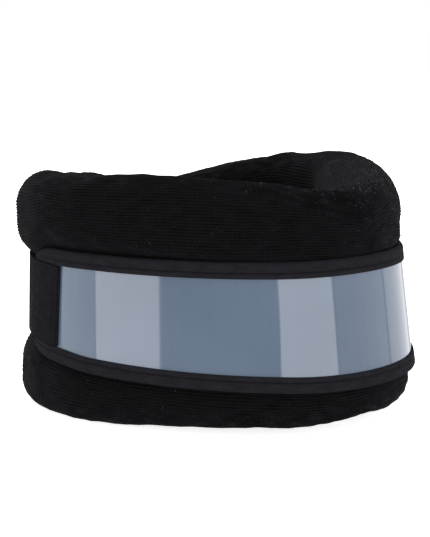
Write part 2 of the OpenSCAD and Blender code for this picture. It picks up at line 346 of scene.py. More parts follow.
def chin_fold(a, section):
    """The puckered notch where the padding folds at the chin."""
    near = np.exp((inner_off(a) - section[:, 0]) / FOLD_REACH)
    top = bend(section[:, 1], foam_top(a) - 30, foam_top(a) - 2, 0, 1)
    pinch = math.exp(-abs(a) / FOLD_SPREAD)
    out = section.copy()
    out[:, 1] -= FOLD_DROP * pinch * near * top
    out[:, 0] += FOLD_DEPTH * pinch * near
    return out


# ------ meshes
def build_mesh(name, points, face_sets, uv=None, sharp=None, sharp_rings=()):
    """A smooth-shaded mesh object from points in mm and arrays of faces with equal corner counts.
    Edges sharper than 'sharp' degrees stay crisp, and so do those of the rings in sharp_rings."""
    faces = [np.asarray(f, dtype=np.int64) for f in face_sets if len(f)]
    corners = np.concatenate([f.reshape(-1) for f in faces])
    totals = np.concatenate([np.full(len(f), f.shape[1]) for f in faces])
    starts = np.concatenate([[0], np.cumsum(totals)[:-1]])
    mesh = bpy.data.meshes.new(name)
    mesh.vertices.add(len(points))
    mesh.vertices.foreach_set("co", (np.asarray(points) * MM).astype(np.float32).ravel())
    mesh.loops.add(len(corners))
    mesh.loops.foreach_set("vertex_index", corners.astype(np.int32))
    mesh.polygons.add(len(totals))
    mesh.polygons.foreach_set("loop_start", starts.astype(np.int32))
    mesh.polygons.foreach_set("loop_total", totals.astype(np.int32))
    mesh.polygons.foreach_set("use_smooth", np.ones(len(totals), dtype=bool))
    mesh.update(calc_edges=True)
    if uv is not None:
        layer = mesh.uv_layers.new(name="cloth")
        layer.data.foreach_set("uv", np.asarray(uv, dtype=np.float32)[corners].ravel())
    mesh.validate()
    if sharp is not None:
        mesh.set_sharp_from_angle(angle=math.radians(sharp))
    if len(sharp_rings):
        ends = np.empty(len(mesh.edges) * 2, dtype=np.int32)
        mesh.edges.foreach_get("vertices", ends)
        ring = np.full(len(points), -1)
        for number, members in enumerate(sharp_rings):
            ring[members] = number
        pairs = ring[ends.reshape(-1, 2)]
        crisp = (pairs[:, 0] >= 0) & (pairs[:, 0] == pairs[:, 1])
        mesh.attributes.new("sharp_edge", "BOOLEAN", "EDGE").data.foreach_set("value", crisp)
    thing = bpy.data.objects.new(name, mesh)
    bpy.context.scene.collection.objects.link(thing)
    return thing


def ring_faces(rows, n, first=0, flip=False):
    """Quads between consecutive closed rings of n points."""
    i, j = np.meshgrid(np.arange(rows - 1), np.arange(n), indexing="ij")
    k = (j + 1) % n
    quads = np.stack([i * n + j, i * n + k, (i + 1) * n + k, (i + 1) * n + j], axis=-1)
    quads = quads.reshape(-1, 4) + first
    return quads[:, ::-1] if flip else quads


def zip_faces(ring, flip=False):
    """Quads that close a ring by joining each point to the one across from it."""
    n = len(ring)
    j = np.arange(1, n // 2 - 1)
    quads = np.stack([ring[j], ring[j + 1], ring[n - 1 - j], ring[n - j]], axis=-1)
    ends = np.array([[ring[0], ring[1], ring[n - 1]], [ring[n // 2 - 1], ring[n // 2], ring[n // 2 + 1]]])
    return [quads[:, ::-1], ends[:, ::-1]] if flip else [quads, ends]


def swept_solid(name, rings, uv=None, sharp=None):
    """A closed solid through rings in order of rising bearing."""
    rows, n = len(rings), len(rings[0])
    first = np.arange(n)[None]
    faces = [ring_faces(rows, n), first[:, ::-1], first + (rows - 1) * n]
    return build_mesh(name, np.vstack(rings), faces, uv, sharp)


def separate_tubes(name, rings, rows):
    """One object of many closed tubes, each of this many rings in order."""
    sides = len(rings[0])
    step = rows * sides
    first = (np.arange(len(rings) // rows) * step)[:, None]
    quads = (first[:, :, None] + ring_faces(rows, sides)[None]).reshape(-1, 4)
    start = first + np.arange(sides)[::-1]
    end = first + step - sides + np.arange(sides)
    return build_mesh(name, np.vstack(rings), [quads, start, end])


def rim(outer, lining, flip):
    """Polygons that join an outer ring to the coarser ring of its lining."""
    step = len(outer) // len(lining)
    j = np.arange(len(lining))
    around = [outer[(j * step + i) % len(outer)] for i in range(step + 1)]
    poly = np.stack(around + [lining[(j + 1) % len(lining)], lining[j]], axis=-1)
    return poly[:, ::-1] if flip else poly


# ------ the padded sleeve
COUNTS = [r * PER_RIB for r in RIBS]
RIB_V = np.arange(sum(COUNTS)) * RIB_PITCH / PER_RIB


def end_round(a, section):
    """Draws a flap's section in towards its middle seam over the last few millimetres."""
    left = (FLAP_END - abs(a)) / NAPE_MM
    if left > END_REACH:
        return section
    full = math.sqrt(max(0.0, 1 - (1 - left / END_REACH) ** 2))
    mid = -WALL / 2 + 1
    z_mid = (foam_base(a) + foam_top(a)) / 2
    out = section.copy()
    out[:, 0] = mid + (section[:, 0] - mid) * (0.04 + 0.96 * full)
    out[:, 1] = z_mid + (section[:, 1] - z_mid) * (0.9 + 0.1 * full)
    return out


def sleeve_section(a, ribs=True, inset=0.0, counts=COUNTS):
    """The sleeve's section at a bearing, or one that lies 'inset' inside it. It never dips below z = 0."""
    section = chin_fold(a, padding_section(a, counts, inset))
    if ribs:
        section = ribbed(a, section)
    section[:, 1] = np.maximum(section[:, 1], inset)
    return end_round(a, section)


# ------ the knit settles over its filling
COARSE = [c // LINING_STEP for c in COUNTS]


def settling_cloth():
    """The whole sleeve as one coarse cloth, held where the plate and the straps press on it."""
    rings = [place(a, sleeve_section(a, False, 0.0, COARSE)) for a in SETTLE_STATIONS]
    n = sum(COARSE)
    cloth = swept_solid("settling_cloth", rings)
    held = cloth.vertex_groups.new(name="held")
    band = range(COARSE[0] - 1, COARSE[0] + COARSE[1] + 2)
    flap_ends = [*range(2 * n), *range((len(rings) - 2) * n, len(rings) * n)]
    held.add([row * n + j for row in range(len(rings)) for j in band] + flap_ends, 1.0, "REPLACE")
    modifier = cloth.modifiers.new("settle", "CLOTH")
    settings = modifier.settings
    settings.quality = 6
    settings.mass = 0.25
    settings.tension_stiffness = settings.compression_stiffness = 18
    settings.bending_stiffness = 0.3
    settings.shrink_min = -SETTLE_SPARE
    settings.use_pressure = True
    settings.uniform_pressure_force = SETTLE_PRESSURE
    settings.vertex_group_mass = "held"
    settings.effector_weights.gravity = 0
    modifier.collision_settings.use_collision = False
    return cloth, np.array(rings)


def settle():
    """How far the knit's points move as it settles, in mm: stations by points by x, y, z.
    Its fine puckers are kept, and only a little of the slow swelling under them."""
    cloth, before = settling_cloth()
    for number in range(1, SETTLE_FRAMES + 1):
        bpy.context.scene.frame_set(number)
    moved = cloth.evaluated_get(bpy.context.evaluated_depsgraph_get()).data
    after = np.empty(before.size, dtype=np.float32)
    moved.vertices.foreach_get("co", after)
    mesh = cloth.data
    bpy.data.objects.remove(cloth)
    bpy.data.meshes.remove(mesh)
    bpy.context.scene.frame_set(1)
    shift = after.reshape(before.shape) / MM - before
    window = np.hanning(SETTLE_WINDOW)
    window = window / window.sum()
    half = SETTLE_WINDOW // 2
    padded = np.pad(shift, ((half, half), (0, 0), (0, 0)), mode="edge")
    slow = np.apply_along_axis(lambda line: np.convolve(line, window, "valid"), 0, padded)
    puckers = shift - (1 - SETTLE_KEEP) * slow
    size = np.linalg.norm(puckers, axis=2, keepdims=True) + 1e-6
    return puckers * (SETTLE_CAP * np.tanh(size / SETTLE_CAP) / size)


def between(rows, at):
    """Smooth values between rows: at is a fractional row number, and the rows are padded by one."""
    i = np.minimum(np.floor(at).astype(int), len(rows) - 4)
    t = (at - i)[:, None, None] if rows.ndim == 3 else (at - i)[:, None]
    p0, p1, p2, p3 = (rows[i + k] for k in range(4))
    squared = 2 * p0 - 5 * p1 + 4 * p2 - p3
    cubed = 3 * (p1 - p2) + p3 - p0
    return p1 + 0.5 * t * (p2 - p0 + t * (squared + t * cubed))


def settled(a, n):
    """The shift of the n points of a section at a bearing."""
    row = (a + FLAP_END) / (2 * FLAP_END) * (len(SETTLE_STATIONS) - 1)
    ring = between(np.pad(SHIFT, ((1, 1), (0, 0), (0, 0)), mode="edge"), np.array([row]))[0]
    around = np.concatenate([ring[-1:], ring, ring[:2]])
    return between(around, np.arange(n) * len(ring) / n)


def sleeve_ring(a, *shape):
    """A section's points in space, with the knit settled."""
    section = sleeve_section(a, *shape)
    ring = place(a, section) + settled(a, len(section))
    ring[:, 2] = np.maximum(ring[:, 2], section[:, 1].min())
    return ring


def front_stations():
    """Bearings over the front, closer together at the chin."""
    t = np.linspace(-1, 1, FRONT_STEPS + 1)
    return np.sign(t) * SPLIT * (0.5 * np.abs(t) + 0.5 * t * t)


def flap_stations(side, steps=FLAP_STEPS):
    """From the split to the flap's end, closer together where the end rounds over."""
    reach = END_REACH * NAPE_MM
    near = np.linspace(SPLIT, FLAP_END - reach, steps - 9)
    over = FLAP_END - reach * (1 - np.sin(np.radians(np.linspace(0, 90, 10))))
    return side * np.concatenate([near, over[1:]])[::side]


def sleeve(name, stations):
    """A hollow knit sleeve: ribbed outside, lined inside, shut at a flap's end."""
    shut = [abs(stations[0]) > FLAP_END - 0.1, abs(stations[-1]) > FLAP_END - 0.1]
    lined = stations[int(shut[0]):len(stations) - int(shut[1])]
    outer = [sleeve_ring(a) for a in stations]
    lining = [sleeve_ring(a, False, KNIT_T, COARSE) for a in lined]
    n, m = sum(COUNTS), sum(COARSE)
    base = len(outer) * n
    faces = [ring_faces(len(outer), n), ring_faces(len(lining), m, base, flip=True)]
    ends = [(np.arange(n), base + np.arange(m))]
    ends.append((ends[0][0] + (len(outer) - 1) * n, ends[0][1] + (len(lining) - 1) * m))
    open_rings = []
    for i, (outer_end, lining_end) in enumerate(ends):
        if shut[i]:
            faces += zip_faces(outer_end, flip=i == 0) + zip_faces(lining_end, flip=i == 1)
        else:
            faces.append(rim(outer_end, lining_end, flip=i == 0))
            open_rings += [outer_end, lining_end]
    uv = np.vstack([
        columns([np.repeat(arc_length(stations), n), np.tile(RIB_V, len(outer))]),
        columns([np.repeat(arc_length(lined), m), np.tile(RIB_V[::LINING_STEP], len(lining))]),
    ])
    return build_mesh(name, np.vstack(outer + lining), faces, uv, sharp_rings=open_rings)


def core(name, stations):
    """The foam inside the sleeve."""
    return swept_solid(name, [sleeve_ring(a, False, CORE_GAP, COARSE) for a in stations])


def fibre(root, out, ahead, length, radius):
    """Rings of one stray fibre. It stands up from the knit and curls over, above the floor."""
    lay = rng.uniform(0.15, 0.7)
    curl = rng.uniform(0.6, 2.4)
    turn = rng.uniform(0, 2 * math.pi)
    beside = np.cross(out, ahead)
    along = math.cos(turn) * ahead + math.sin(turn) * beside
    across = np.cross(along, out)
    angles = np.radians(np.arange(FIBRE_SIDES) * 360 / FIBRE_SIDES)[:, None]
    points = []
    for t in np.linspace(0, 1, FIBRE_RINGS):
        centre = root + length * (t * (1 - lay * t) * out * 0.55 + np.sin(curl * t) / curl * along)
        centre = centre + 0.12 * length * math.sin(5 * t + turn) * across
        r = radius * (1 - 0.6 * t)
        points.append(centre + r * (np.cos(angles) * across + np.sin(angles) * out))
    points = np.array(points)
    points[:, :, 2] += max(0.0, FIBRE_LEVEL - points[:, :, 2].min())
    return points


def knit_frame(a, at):
    """A point of the knit by its bearing and number, the way out from it and the way along the ribs."""
    here, beyond = (sleeve_section(bearing, False) for bearing in (a, a + 0.5))
    spot = place(a, here)[at]
    out_2d = outward(here)[at]
    x, y = outline(a, here[at, 0] + out_2d[0])
    out = np.array([float(x), float(y), here[at, 1] + out_2d[1]]) - spot
    ahead = place(a + 0.5, beyond)[at] - spot
    return spot + settled(a, len(here))[at], out, ahead / np.linalg.norm(ahead)


def fuzz(name, bearings, crest, spread, radius, longest, lift):
    """Stray fibres on the knit at these bearings, the share 'crest' of them spread about its top.
    They start at this lift from its face."""
    n, middle = sum(COUNTS), sum(COUNTS[:3])
    rings = []
    for a in bearings:
        at = int(rng.normal(middle, spread)) % n if rng.random() < crest else int(rng.integers(0, n))
        root, out, ahead = knit_frame(a, at)
        length = rng.uniform(0.3, 1.0) * longest
        rings += [*fibre(root + lift * out, out / np.linalg.norm(out), ahead, length, radius)]
    return separate_tubes(name, rings, FIBRE_RINGS)


# ------ strips that follow the outline
def strip_section(width, thick, edge=0.45, across=12):
    """Closed section of a flat strap with rounded edges, as (out, up) from the middle of its inner face."""
    r = min(edge, thick / 2)
    reach = width / 2 - r
    up = np.linspace(-reach, reach, across)[1:-1]
    outer = columns([np.full(across - 2, thick), up])
    inner = columns([np.zeros(across - 2), up[::-1]])
    return np.vstack([
        corner(thick - r, -reach, r, -90, 0, 4), outer, corner(thick - r, reach, r, 0, 90, 4),
        corner(r, reach, r, 90, 180, 4), inner, corner(r, -reach, r, 180, 270, 4),
    ])


def leaning(a, section):
    """A section's points in space, moved out to lie on the sloping plate."""
    return place(a, section + columns([lean(a, section[:, 1]), np.zeros(len(section))]))


def strip_uv(stations, section):
    u = arc_length(np.asarray(stations))
    v = section[:, 1]
    return columns([np.repeat(u, len(section)), np.tile(v, len(stations))])


def spaced(a0, a1, pitch_deg):
    """Bearings from one to the other, about this far apart."""
    low, high = min(a0, a1), max(a0, a1)
    return np.linspace(low, high, max(2, int(round((high - low) / pitch_deg)) + 1))


def strap_stations(a0, a1, cut_ends):
    """Bearings along a strap, closer together where a cut end rounds over."""
    over = CUT_ROUND * NAPE_MM * (1 - np.cos(np.radians(np.linspace(0, 90, 6))))
    low, high = (over if cut else over[:1] for cut in cut_ends)
    between_ends = spaced(a0 + low[-1], a1 - high[-1], 1.2)
    return np.concatenate([a0 + low[:-1], between_ends, a1 - high[:-1][::-1]])


def strap(name, a0, a1, off, width=STRAP_W, thick=STRAP_T, cut_ends=(True, True)):
    """A strap from bearing a0 to a1 whose cut ends round down to its inner face. off is a function."""
    stations = strap_stations(a0, a1, cut_ends)
    section = strip_section(width, thick)
    rings = []
    for a in stations:
        left = [abs(a - end) / NAPE_MM for end, cut in zip((a0, a1), cut_ends) if cut]
        full = math.sqrt(1 - (1 - min(1.0, 0.03 + min(left) / CUT_ROUND)) ** 2)
        rings.append(leaning(a, section * [full, 0.98 + 0.02 * full] + [off(a), STRAP_Z]))
    return swept_solid(name, rings, strip_uv(stations, section), sharp=60)


def corner_cut(a, end, length, depth):
    """How far a rounded corner of that length and depth cuts into the edge at a bearing."""
    t = min(1.0, max(0.0, (end - abs(a)) / NAPE_MM / length))
    return depth * (1 - math.sqrt(max(0.0, 1 - (1 - t) ** 2)))


def plate_stations(end):
    """Bearings along the plate, closer together at its rounded corners."""
    reach = CORNER_REACH * NAPE_MM
    tip = end - reach * (1 - np.sin(np.radians(np.linspace(0, 90, 22))))
    half = np.concatenate([np.linspace(0, end - reach, 100), tip[1:]])
    return np.concatenate([-half[::-1], half[1:]])


def support_plate():
    """The clear plate, bent round the front."""
    stations = plate_stations(PLATE_END)
    rings = []
    for a in stations:
        cut = corner_cut(a, PLATE_END, *PLATE_CORNER)
        hi = window_hi(a) + BINDING_W - BINDING_T - SLACK - cut
        lo = window_lo(a) - BINDING_W + BINDING_T + SLACK + cut
        section = strip_section(hi - lo, PLATE_T, 0.3, 22)
        rings.append(leaning(a, section + [-PLATE_T, (hi + lo) / 2]))
    u = np.repeat(arc_length(stations), len(rings[0]))
    uv = columns([u, np.vstack(rings)[:, 2]])
    return swept_solid("clear_plate", rings, uv, sharp=50)


def binding_profile():
    """Section of the folded tape: (out, up) from the plate's face and the window's edge."""
    w, t, back = BINDING_W, BINDING_T, -PLATE_T - SLACK
    t_out = SLACK + t
    groove = STITCH_UP
    up = np.linspace(0.25, w - 1.0, 16)
    puff = 0.22 * np.sin(math.pi * np.clip((up - groove) / (w - groove), 0, 1))
    puff += 0.12 * np.sin(math.pi * np.clip(up / groove, 0, 1))
    puff -= 0.16 * np.exp(-((up - groove) / 0.35) ** 2)
    front = columns([t_out + puff, up])
    mid = (t_out + back - t) / 2
    half = (t_out - back + t) / 2
    turn = np.radians(np.linspace(0, 180, 13))[1:-1]
    fold = columns([mid + half * np.cos(turn), w - 0.9 + 0.9 * np.sin(turn)])
    rear = columns([np.full(8, back - t), np.linspace(w - 1.0, 0.3, 8)])
    inside = np.array([
        [back - t / 2, 0.0], [back, 0.3], [back, w * 0.5], [back, w - t],
        [SLACK, w - t], [SLACK, w * 0.5], [SLACK, 0.3], [SLACK + t / 2, 0.0],
    ])
    return np.vstack([front, fold, rear, inside])


def binding(name, up):
    """The tape folded over the plate's upper edge, or its lower one where up is -1."""
    profile = binding_profile()[::up]
    end = PLATE_END + BINDING_PAST
    stations = plate_stations(end)
    rings = []
    for a in stations:
        edge = window_hi(a) if up > 0 else window_lo(a)
        cut = corner_cut(a, end, *BINDING_CORNER)
        section = profile.copy()
        keep = np.clip(section[:, 1] / BINDING_W, 0, 1)
        section[:, 1] = edge + up * (section[:, 1] - cut * keep)
        rings.append(leaning(a, section))
    uv = strip_uv(stations, np.abs(profile))
    return swept_solid(name, rings, uv, sharp=70)


# ------ stitches
STITCH_ALONG = np.array([0.0, 0.12, 0.5, 0.88, 1.0])
STITCH_GIRTH = np.array([0.35, 0.85, 1.0, 0.85, 0.35])
STITCH_SIDES = 6


def stitch_rings(path, normal, length, radius, gap=0.55):
    """Rings of separate stitches along a polyline, each a small bead that rises in its middle."""
    s = np.concatenate([[0], np.cumsum(np.linalg.norm(np.diff(path, axis=0), axis=1))])
    count = max(1, int(s[-1] / (length + gap)))
    pitch = s[-1] / count
    angle = np.linspace(0, 2 * math.pi, STITCH_SIDES, endpoint=False)
    rings = []
    for i in range(count):
        at = i * pitch + gap / 2 + STITCH_ALONG * (pitch - gap)
        centre = columns([np.interp(at, s, path[:, k]) for k in range(3)])
        out = columns([np.interp(at, s, normal[:, k]) for k in range(3)])
        ahead = (centre[-1] - centre[0]) / np.linalg.norm(centre[-1] - centre[0])
        beside = np.cross(ahead, out)
        lift = 0.06 * np.sin(math.pi * STITCH_ALONG)
        for k, girth in enumerate(radius * STITCH_GIRTH):
            across = np.outer(np.cos(angle), beside[k]) + 0.8 * np.outer(np.sin(angle), out[k])
            rings.append(centre[k] + out[k] * lift[k] + girth * across)
    return rings


def stitches(name, rows, radius=0.2, length=2.3):
    """One object with all the stitches of several rows. A row is (path, outward directions)."""
    rings = [ring for path, normal in rows for ring in stitch_rings(path, normal, length, radius)]
    return separate_tubes(name, rings, len(STITCH_ALONG))


def run(bearings, off, z):
    """A path over the outline, with the outward direction at each point."""
    bearings = np.asarray(bearings, dtype=float)
    off = np.broadcast_to(off, bearings.shape).astype(float)
    z = np.broadcast_to(z, bearings.shape).astype(float)
    off = off + lean(bearings, z)
    x, y = outline(bearings, off)
    t = np.radians(bearings)
    normal = columns([np.sin(t), -np.cos(t), np.zeros_like(t)])
    return columns([x, y, z]), normal


def box_rows(a0, a1, off, z0, z1):
    """Four rows of stitches round a rectangle on a face. off is a function of the bearing."""
    level = np.linspace(a0, a1, 12)
    offs = np.array([off(a) for a in level])
    rows = [run(level, offs, z) for z in (z0, z1)]
    for a in (a0, a1):
        rows.append(run(np.full(8, a), off(a), np.linspace(z0, z1, 8)))
    return rows


# ------ materials
class Material:
    """A new material with values set directly on its Principled shader, and short ways to add nodes."""

    def __init__(self, name, **sockets):
        self.made = bpy.data.materials.new(name)
        self.made.use_nodes = True
        self.tree = self.made.node_tree
        self.shader = self.tree.nodes["Principled BSDF"]
        for socket, value in sockets.items():
            self.shader.inputs[socket.replace("_", " ")].default_value = value
        self.cloth = self.new("UVMap")
        self.cloth.uv_map = "cloth"
        self.local = self.new("TexCoord")

    def feed(self, socket, value):
        """Links a socket to another one, or sets it to a value."""
        if isinstance(value, bpy.types.NodeSocket):
            self.tree.links.new(value, socket)
        else:
            socket.default_value = value

    def new(self, kind, **sockets):
        node = self.tree.nodes.new("ShaderNode" + kind)
        for socket, value in sockets.items():
            self.feed(node.inputs[socket.replace("_", " ")], value)
        return node

    def cloth_uv(self, along=1, across=1):
        """Millimetres along the cloth and across it, scaled."""
        uv = self.cloth.outputs["UV"]
        return self.new("Mapping", Scale=(along, across, 1), Vector=uv).outputs["Vector"]

    def object_mm(self):
        """Millimetres in space."""
        local = self.local.outputs["Object"]
        return self.new("Mapping", Scale=(1000,) * 3, Vector=local).outputs["Vector"]

    def noise(self, vector, scale, detail=2.0, rough=0.5):
        node = self.new("TexNoise", Scale=scale, Detail=detail, Roughness=rough, Vector=vector)
        return node.outputs["Fac"]

    def voronoi(self, vector, scale):
        return self.new("TexVoronoi", Scale=scale, Vector=vector).outputs["Distance"]

    def math(self, kind, *values):
        node = self.new("Math")
        node.operation = kind
        for socket, value in zip(node.inputs, values):
            self.feed(socket, value)
        return node.outputs["Value"]

    def span(self, value, low, high, to_low=0.0, to_high=1.0):
        """Maps a value that runs from low to high onto to_low to to_high."""
        node = self.new("MapRange", From_Min=low, From_Max=high, To_Min=to_low, To_Max=to_high, Value=value)
        return node.outputs["Result"]

    def mix(self, factor, a, b):
        node = self.new("Mix")
        node.data_type = "RGBA"
        for socket, value in (("Factor", factor), ("A", a), ("B", b)):
            self.feed(node.inputs[socket], value)
        return node.outputs["Result"]

    def colour(self, factor, a, b):
        """Gives the shader a colour between a and b."""
        self.feed(self.shader.inputs["Base Color"], self.mix(factor, a, b))

    def parts(self, vector):
        node = self.new("SeparateXYZ", Vector=vector)
        return node.outputs["X"], node.outputs["Y"]

    def bump(self, height, strength, distance_mm):
        node = self.new("Bump", Strength=strength, Distance=distance_mm * MM, Height=height)
        self.feed(self.shader.inputs["Normal"], node.outputs["Normal"])


def rgb(r, g, b):
    return (r, g, b, 1.0)


def knit_material():
    """Black rib-knit cotton: rows of small loops along each rib, painted shade in the valleys between ribs,
    fuzz and lint.
    """
    n = Material(
        "black_knit", Roughness=0.95, Specular_IOR_Level=0.05, Sheen_Weight=0.03, Sheen_Roughness=0.27,
        Sheen_Tint=rgb(0.72, 0.66, 0.85),
    )
    u, v = n.parts(n.cloth_uv())
    rib = n.math("MULTIPLY", v, 2 * math.pi / RIB_PITCH)
    lean_in = n.math("MULTIPLY", n.math("ABSOLUTE", n.math("SINE", n.math("MULTIPLY", rib, 0.5))), 2.2)
    loops = n.math("SINE", n.math("ADD", n.math("MULTIPLY", u, 2 * math.pi / 1.35), lean_in))
    nap = n.noise(n.cloth_uv(0.45, 1.5), 2.3, 4, 0.65)
    broad = n.noise(n.cloth_uv(0.02, 0.16), 1.0, 3, 0.6)
    height = n.math("ADD", n.math("MULTIPLY", loops, 0.8), n.math("MULTIPLY", nap, 1.1))
    n.bump(height, 0.65, 0.28)
    cells = n.new("TexVoronoi", Vector=n.cloth_uv(0.2, 0.34))
    picked = n.math("GREATER_THAN", n.parts(cells.outputs["Color"])[0], 0.86)
    specks = n.math("MULTIPLY", n.span(cells.outputs["Distance"], 0.16, 0.07), picked)
    dark = n.mix(broad, rgb(0.0012, 0.0012, 0.0014), rgb(0.003, 0.0029, 0.0033))
    worn = n.mix(n.span(nap, 0.35, 0.75), dark, rgb(0.0042, 0.0041, 0.005))
    broken = n.span(n.noise(n.cloth_uv(0.16, 0.9), 1.0, 3, 0.6), 0.35, 0.62)
    # Painted shade: the colour darkens in the valleys between the ribs, where the geometry dips, broken up
    # by noise.
    painted_groove_shade = n.math("MULTIPLY", n.span(n.math("COSINE", rib), 0.3, -0.9), broken)
    ridge = n.mix(painted_groove_shade, worn, rgb(0.0009, 0.0009, 0.0011))
    n.colour(specks, ridge, rgb(0.035, 0.034, 0.036))
    return n.made


def foam_material():
    """Open-cell foam. Its colour is darkest in the pits that the bump makes: painted shade in the pores."""
    n = Material("grey_foam", Roughness=0.95, Specular_IOR_Level=0.2)
    cells = n.voronoi(n.object_mm(), 1.4)
    # Painted shade: darker where the cells' bump sinks into pits.
    n.colour(n.span(cells, 0.1, 0.7), rgb(0.16, 0.16, 0.15), rgb(0.34, 0.34, 0.32))
    n.bump(cells, 0.7, 0.4)
    return n.made


def plate_material():
    """Glossy translucent sheet over dark cloth: milky, cool grey, with faint bands from rolling."""
    n = Material(
        "milky_plate", Roughness=0.07, IOR=1.5, Specular_IOR_Level=0.5,
        Coat_Weight=0.25, Coat_Roughness=0.03,
    )
    cloud = n.noise(n.cloth_uv(0.012, 0.02), 1.0, 2, 0.5)
    streak = n.noise(n.cloth_uv(0.35, 0.006), 1.0, 2, 0.5)
    tone = n.math("ADD", n.math("MULTIPLY", cloud, 0.8), n.math("MULTIPLY", streak, 0.2))
    n.colour(n.span(tone, 0.35, 0.65), rgb(0.040, 0.062, 0.096), rgb(0.052, 0.075, 0.115))
    scuff = n.noise(n.cloth_uv(0.2, 0.5), 1.0, 4, 0.6)
    n.feed(n.shader.inputs["Roughness"], n.span(scuff, 0.3, 0.8, 0.045, 0.11))
    n.bump(n.noise(n.cloth_uv(0.03, 0.012), 1.0, 1, 0.5), 0.35, 1.2)
    return n.made


def tape_material(name, dark, light, pitch, slant, gloss):
    """Woven tape: fine crossing yarns, rubbed and a little dusty. slant turns the yarns off straight."""
    n = Material(
        name, Roughness=0.85, Specular_IOR_Level=gloss, Sheen_Weight=0.006, Sheen_Roughness=0.5,
    )
    u, v = n.parts(n.cloth_uv())
    warp = n.math("ADD", u, n.math("MULTIPLY", v, slant))
    weft = n.math("SUBTRACT", v, n.math("MULTIPLY", u, slant))
    rib = n.math("SINE", n.math("MULTIPLY", warp, 2 * math.pi / pitch))
    pick = n.math("SINE", n.math("MULTIPLY", weft, 5 / pitch))
    weave = n.math("ADD", rib, n.math("MULTIPLY", pick, 0.5))
    rubbed = n.noise(n.cloth_uv(0.15, 0.35), 1.0, 5, 0.7)
    dust = n.span(n.noise(n.cloth_uv(), 1.3, 3, 0.75), 0.6, 0.72)
    tone = n.math("ADD", n.math("MULTIPLY", weave, 0.1), rubbed)
    yarn = n.mix(n.span(tone, 0.2, 0.8), dark, light)
    n.colour(n.math("MULTIPLY", dust, 0.5), yarn, rgb(*(3 * c for c in light[:3])))
    n.bump(n.math("ADD", weave, n.math("MULTIPLY", rubbed, 2.0)), 0.6, 0.16)
    return n.made


def thread_material():
    """Black sewing thread."""
    n = Material("black_thread", Roughness=0.6, Specular_IOR_Level=0.06)
    twist = n.noise(n.object_mm(), 3.0, 2, 0.5)
    n.colour(twist, rgb(0.0008, 0.0008, 0.001), rgb(0.0035, 0.0034, 0.004))
    n.bump(twist, 0.4, 0.1)
    return n.made


def lint_material():
    """Pale stray cotton fibres."""
    n = Material("pale_lint", Roughness=0.9, Specular_IOR_Level=0.1)
    shade = n.span(n.noise(n.object_mm(), 0.35, 2, 0.6), 0.35, 0.65)
    n.colour(shade, rgb(0.02, 0.019, 0.023), rgb(0.13, 0.125, 0.14))
    return n.made


def pile_material(name, dark, light, scale, rough):
    """Hook or loop face."""
    n = Material(
        name, Roughness=rough, Specular_IOR_Level=0.25, Sheen_Weight=0.1, Sheen_Roughness=0.5,
    )
    tufts = n.voronoi(n.object_mm(), scale)
    fine = n.noise(n.object_mm(), scale * 2.2, 4, 0.7)
    n.colour(n.span(fine, 0.3, 0.75), dark, light)
    n.bump(n.math("ADD", tufts, fine), 0.8, 0.3)
    return n.made


def finish(piece, material, replaced=(), body=None):
    """Gives a piece its material and slot, hides the CAD nodes it stands for, and lets it ride a body."""
    piece.data.materials.clear()
    piece.data.materials.append(material)
    if replaced:
        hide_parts(*replaced)
    if body:
        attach(piece, body)


KNIT = knit_material()
FOAM = foam_material()
PLATE = plate_material()
BINDING = tape_material(
    "binding_tape", rgb(0.0045, 0.0045, 0.006), rgb(0.012, 0.0117, 0.0148), 0.9, 1.0, 0.025,
)
STRAP = tape_material(
    "strap_webbing", rgb(0.0022, 0.0022, 0.003), rgb(0.0078, 0.0074, 0.0094), 1.1, 0.0, 0.012,
)
THREAD = thread_material()
LINT = lint_material()
HOOK = pile_material("hook_face", rgb(0.006, 0.006, 0.007), rgb(0.02, 0.02, 0.022), 1.1, 0.55)
LOOP = pile_material("loop_face", rgb(0.007, 0.007, 0.008), rgb(0.028, 0.028, 0.031), 0.8, 0.85)


# ------ pieces
SIDES = {"right": -1, "left": 1}


def lint():
    """Stray fibres over the front, and snagged loops where the knit gathers at the chin."""
    bearings = rng.uniform(1 - SPLIT, SPLIT - 1, 1600)
    stray = fuzz("stray_fibres_front", bearings, 0.5, 22, FIBRE_R, 2.0, -0.2)
    bearings = rng.normal(22, 20, 430)
    snags = fuzz("snagged_loops_chin", bearings, 1.0, 50, 2.6 * FIBRE_R, 0.9, 0.3)
    for piece in (stray, snags):
        finish(piece, LINT, body="front")


def pad(piece, material, node, body=None):
    """Finishes a padded piece."""
    finish(piece, material, [node], body)


def padding():
    """The knit sleeve and the foam in it, front and both flaps."""
    front = sleeve("knit_cover_front", front_stations())
    pad(front, KNIT, "cover_front", "front")
    lint()
    inside = core("foam_core_front", np.linspace(-SPLIT, SPLIT, 61))
    pad(inside, FOAM, "core_front", "front")
    for word, side in SIDES.items():
        flap = sleeve(f"knit_cover_{word}", flap_stations(side))
        pad(flap, KNIT, f"cover_{word}_flap")
        stations = flap_stations(side, 30)
        inside = core(f"foam_core_{word}", stations[:-2] if side > 0 else stations[2:])
        pad(inside, FOAM, f"core_{word}_flap")
        for piece in (flap, inside):
            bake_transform(piece)


def stiffener():
    """The plate, its two bindings and their stitching."""
    finish(support_plate(), PLATE, ["support_plate"], "front")
    for word, up in (("upper", 1), ("lower", -1)):
        finish(binding(f"binding_{word}", up), BINDING, [f"{word}_binding"], "front")
        bearings = np.linspace(-PLATE_END + 3, PLATE_END - 3, 240)
        edge = window_hi(bearings) if up > 0 else window_lo(bearings)
        row = run(bearings, SLACK + BINDING_T + 0.08, edge + up * STITCH_UP)
        sewn = stitches(f"binding_stitches_{word}", [row], radius=0.17)
        finish(sewn, THREAD, [f"{word}_stitching"], "front")


def box(name, a0, a1, off, margin, node, body):
    """A box stitch on a strap, its rows this margin inside the strap's edges."""
    rows = box_rows(a0, a1, lambda a: off, STRAP_LOW + margin, STRAP_HIGH - margin)
    finish(stitches(name, rows), THREAD, [node], body)


